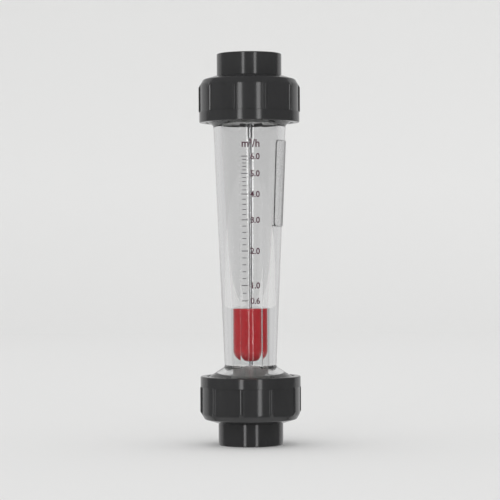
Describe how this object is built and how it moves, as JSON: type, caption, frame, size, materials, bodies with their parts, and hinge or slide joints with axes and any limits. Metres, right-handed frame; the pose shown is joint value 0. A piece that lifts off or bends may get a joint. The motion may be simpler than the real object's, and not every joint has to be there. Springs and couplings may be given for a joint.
{
  "type": "rotameter",
  "caption": "Clear tapered tube flow meter with a red float on a guide rod, a flat scale panel, and ribbed union nuts holding glued pipe sockets at its ends.",
  "frame": {"origin": "centre of the lower socket's end face, which the meter stands on", "axes": "+Z along the tube in the direction of flow, -Y towards the scale panel, +X to the reader's right"},
  "size_m": [0.0822, 0.0812, 0.317],
  "materials": {
    "clear_plastic": "clear, polished",
    "grey_plastic": "satin moulded pipe plastic",
    "nut_plastic": "satin moulded pipe plastic",
    "seal_rubber": "smooth",
    "white_plastic": "moulded, natural white",
    "steel": "drawn bright",
    "red_plastic": "turned satin",
    "weight_steel": "turned",
    "bush_plastic": "turned, natural white"
  },
  "bodies": {
    "tube": {"metering_tube": "clear_plastic", "lower_rod_holder": "white_plastic", "upper_rod_holder": "white_plastic", "guide_rod": "steel", "lower_rod_washer": "steel", "upper_rod_washer": "steel", "lower_rod_nut": "steel", "upper_rod_nut": "steel", "lower_stop_bush": "steel", "upper_stop_sleeve": "steel", "lower_o_ring": "seal_rubber", "upper_o_ring": "seal_rubber"},
    "float_guides": {"lower_float_bush": "bush_plastic", "upper_float_bush": "bush_plastic"},
    "float": {"float_body": "red_plastic", "float_weight": "weight_steel", "float_cap": "red_plastic"},
    "lower_union": {"lower_union_end": "grey_plastic"},
    "lower_nut": {"lower_union_nut": "nut_plastic"},
    "upper_union": {"upper_union_end": "grey_plastic"},
    "upper_nut": {"upper_union_nut": "nut_plastic"}
  },
  "joints": [
    {"name": "float_slide", "type": "slide", "parent": "tube", "child": "float_guides", "axis": [0, 0, 1], "range_m": [0, 0.1377]},
    {"name": "float_spin", "type": "hinge", "parent": "float_guides", "child": "float", "pos_m": [0, 0, 0.09], "axis": [0, 0, 1], "continuous": true},
    {"name": "lower_union_slide", "type": "slide", "parent": "tube", "child": "lower_union", "axis": [0, 0, -1], "range_m": [0, 0.02005]},
    {"name": "lower_nut_turn", "type": "hinge", "parent": "lower_union", "child": "lower_nut", "pos_m": [0, 0, 0.035], "axis": [0, 0, -1], "range_deg": [0, 1800]},
    {"name": "upper_union_slide", "type": "slide", "parent": "tube", "child": "upper_union", "axis": [0, 0, 1], "range_m": [0, 0.02005]},
    {"name": "upper_nut_turn", "type": "hinge", "parent": "upper_union", "child": "upper_nut", "pos_m": [0, 0, 0.282], "axis": [0, 0, 1], "range_deg": [0, 1800]}
  ],
  "couplings": [
    {"joint": "lower_union_slide", "follows": "lower_nut_turn", "m_per_rad": 0.00063662},
    {"joint": "upper_union_slide", "follows": "upper_nut_turn", "m_per_rad": 0.00063662}
  ]
}
